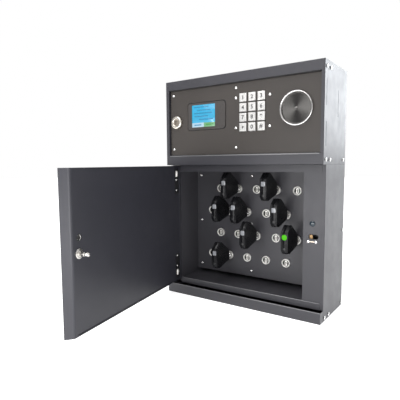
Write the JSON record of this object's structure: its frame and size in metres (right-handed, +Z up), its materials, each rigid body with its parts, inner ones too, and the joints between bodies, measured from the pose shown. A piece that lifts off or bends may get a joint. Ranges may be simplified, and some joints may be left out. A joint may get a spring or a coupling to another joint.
{
  "type": "electronic key cabinet",
  "caption": "Wall-type electronic key cabinet: upper section with display, keypad, reader and lock; lower compartment with a hinged door over a plate of ports that hold plug-in keys.",
  "frame": {"origin": "centre of the cabinet's flat underside, halfway between the side walls and halfway between the front plane of the upper section and the wall face", "axes": "+X to the right seen from the front, +Y towards the wall, +Z up"},
  "size_m": [0.2848, 0.3696, 0.375],
  "materials": {
    "black_plastic": "fine texture",
    "board": "solder mask",
    "brass": "brushed",
    "casing": "satin fine-texture powder coat, black",
    "chrome": "bright nickel plate",
    "dark_gloss": "gloss",
    "door_paint": "satin powder coat, black",
    "inner_steel": "zinc-plated sheet",
    "key_steel": "satin stainless",
    "panel_paint": "fine-texture powder coat, charcoal",
    "plate_paint": "satin powder coat, black",
    "reader": "spun dark finish",
    "rubber": "matt",
    "screw": "bright zinc plate",
    "window": "clear with a black border"
  },
  "bodies": {
    "cabinet": {"bottom_tray": "casing", "lower_shell": "casing", "rear_panel": "casing", "cable_grommet": "rubber", "upper_hood": "casing", "divider_shelf": "plate_paint", "front_frame": "casing", "compartment_liner": "plate_paint", "key_plate": "plate_paint", "port_bodies": "chrome", "port_cores": "screw", "port_nuts": "chrome", "port_board": "board", "main_board": "board", "power_supply": "inner_steel", "standoffs": "inner_steel", "frame_screws": "screw", "latch_housing": "black_plastic", "door_sensor": "dark_gloss", "side_screws": "screw", "panel_hinge_pins": "screw"},
    "door": {"door_shell": "door_paint", "door_inner_cover": "door_paint", "hinge_blocks": "black_plastic", "pivot_pins": "screw", "spring_barrels": "chrome", "hinge_screws": "screw", "latch_peg": "chrome", "door_magnet": "black_plastic"},
    "service_panel": {"panel_plate": "panel_paint", "display_window": "window", "display_module": "inner_steel", "keypad_board": "board", "panel_screws": "screw", "reader_disc": "reader", "reader_ring": "chrome", "lock_body": "chrome"},
    "cam_lock": {"lock_plug": "chrome", "lock_cam": "inner_steel"},
    "latch_bolt": {"latch_bolt": "brass"},
    "keypad_key_1": {"keypad_key_1": "key_steel"},
    "keypad_key_2": {"keypad_key_2": "key_steel"},
    "keypad_key_3": {"keypad_key_3": "key_steel"},
    "keypad_key_4": {"keypad_key_4": "key_steel"},
    "keypad_key_5": {"keypad_key_5": "key_steel"},
    "keypad_key_6": {"keypad_key_6": "key_steel"},
    "keypad_key_7": {"keypad_key_7": "key_steel"},
    "keypad_key_8": {"keypad_key_8": "key_steel"},
    "keypad_key_9": {"keypad_key_9": "key_steel"},
    "keypad_key_star": {"keypad_key_star": "key_steel"},
    "keypad_key_0": {"keypad_key_0": "key_steel"},
    "keypad_key_hash": {"keypad_key_hash": "key_steel"},
    "smart_key_1": {"smart_key_1": "black_plastic"},
    "smart_key_2": {"smart_key_2": "black_plastic"},
    "smart_key_3": {"smart_key_3": "black_plastic"},
    "smart_key_4": {"smart_key_4": "black_plastic"},
    "smart_key_5": {"smart_key_5": "black_plastic"},
    "smart_key_6": {"smart_key_6": "black_plastic"},
    "smart_key_7": {"smart_key_7": "black_plastic"},
    "smart_key_8": {"smart_key_8": "black_plastic"}
  },
  "joints": [
    {"name": "door_hinge", "type": "hinge", "parent": "cabinet", "child": "door", "pos_m": [-0.1303, -0.0499, 0.125], "axis": [0, 0, -1], "range_deg": [-79.2, 30]},
    {"name": "panel_hinge", "type": "hinge", "parent": "cabinet", "child": "service_panel", "pos_m": [0.127, -0.04425, 0.303], "axis": [0, 0, 1], "range_deg": [0, 90]},
    {"name": "lock_turn", "type": "hinge", "parent": "service_panel", "child": "cam_lock", "pos_m": [-0.119, -0.04875, 0.3045], "axis": [0, 1, 0], "range_deg": [-90, 0]},
    {"name": "bolt_slide", "type": "slide", "parent": "cabinet", "child": "latch_bolt", "axis": [0, 0, -1], "range_m": [0, 0.0065]},
    {"name": "press_1", "type": "slide", "parent": "service_panel", "child": "keypad_key_1", "axis": [0, 1, 0], "range_m": [0, 0.0012], "stiffness_N_per_m": 300, "springref_m": -0.0015},
    {"name": "press_2", "type": "slide", "parent": "service_panel", "child": "keypad_key_2", "axis": [0, 1, 0], "range_m": [0, 0.0012], "stiffness_N_per_m": 300, "springref_m": -0.0015},
    {"name": "press_3", "type": "slide", "parent": "service_panel", "child": "keypad_key_3", "axis": [0, 1, 0], "range_m": [0, 0.0012], "stiffness_N_per_m": 300, "springref_m": -0.0015},
    {"name": "press_4", "type": "slide", "parent": "service_panel", "child": "keypad_key_4", "axis": [0, 1, 0], "range_m": [0, 0.0012], "stiffness_N_per_m": 300, "springref_m": -0.0015},
    {"name": "press_5", "type": "slide", "parent": "service_panel", "child": "keypad_key_5", "axis": [0, 1, 0], "range_m": [0, 0.0012], "stiffness_N_per_m": 300, "springref_m": -0.0015},
    {"name": "press_6", "type": "slide", "parent": "service_panel", "child": "keypad_key_6", "axis": [0, 1, 0], "range_m": [0, 0.0012], "stiffness_N_per_m": 300, "springref_m": -0.0015},
    {"name": "press_7", "type": "slide", "parent": "service_panel", "child": "keypad_key_7", "axis": [0, 1, 0], "range_m": [0, 0.0012], "stiffness_N_per_m": 300, "springref_m": -0.0015},
    {"name": "press_8", "type": "slide", "parent": "service_panel", "child": "keypad_key_8", "axis": [0, 1, 0], "range_m": [0, 0.0012], "stiffness_N_per_m": 300, "springref_m": -0.0015},
    {"name": "press_9", "type": "slide", "parent": "service_panel", "child": "keypad_key_9", "axis": [0, 1, 0], "range_m": [0, 0.0012], "stiffness_N_per_m": 300, "springref_m": -0.0015},
    {"name": "press_star", "type": "slide", "parent": "service_panel", "child": "keypad_key_star", "axis": [0, 1, 0], "range_m": [0, 0.0012], "stiffness_N_per_m": 300, "springref_m": -0.0015},
    {"name": "press_0", "type": "slide", "parent": "service_panel", "child": "keypad_key_0", "axis": [0, 1, 0], "range_m": [0, 0.0012], "stiffness_N_per_m": 300, "springref_m": -0.0015},
    {"name": "press_hash", "type": "slide", "parent": "service_panel", "child": "keypad_key_hash", "axis": [0, 1, 0], "range_m": [0, 0.0012], "stiffness_N_per_m": 300, "springref_m": -0.0015},
    {"name": "smart_key_1_pull", "type": "slide", "parent": "cabinet", "child": "smart_key_1", "axis": [0, -1, 0], "range_m": [0, 0.045]},
    {"name": "smart_key_2_pull", "type": "slide", "parent": "cabinet", "child": "smart_key_2", "axis": [0, -1, 0], "range_m": [0, 0.045]},
    {"name": "smart_key_3_pull", "type": "slide", "parent": "cabinet", "child": "smart_key_3", "axis": [0, -1, 0], "range_m": [0, 0.045]},
    {"name": "smart_key_4_pull", "type": "slide", "parent": "cabinet", "child": "smart_key_4", "axis": [0, -1, 0], "range_m": [0, 0.045]},
    {"name": "smart_key_5_pull", "type": "slide", "parent": "cabinet", "child": "smart_key_5", "axis": [0, -1, 0], "range_m": [0, 0.045]},
    {"name": "smart_key_6_pull", "type": "slide", "parent": "cabinet", "child": "smart_key_6", "axis": [0, -1, 0], "range_m": [0, 0.045]},
    {"name": "smart_key_7_pull", "type": "slide", "parent": "cabinet", "child": "smart_key_7", "axis": [0, -1, 0], "range_m": [0, 0.045]},
    {"name": "smart_key_8_pull", "type": "slide", "parent": "cabinet", "child": "smart_key_8", "axis": [0, -1, 0], "range_m": [0, 0.045]}
  ]
}
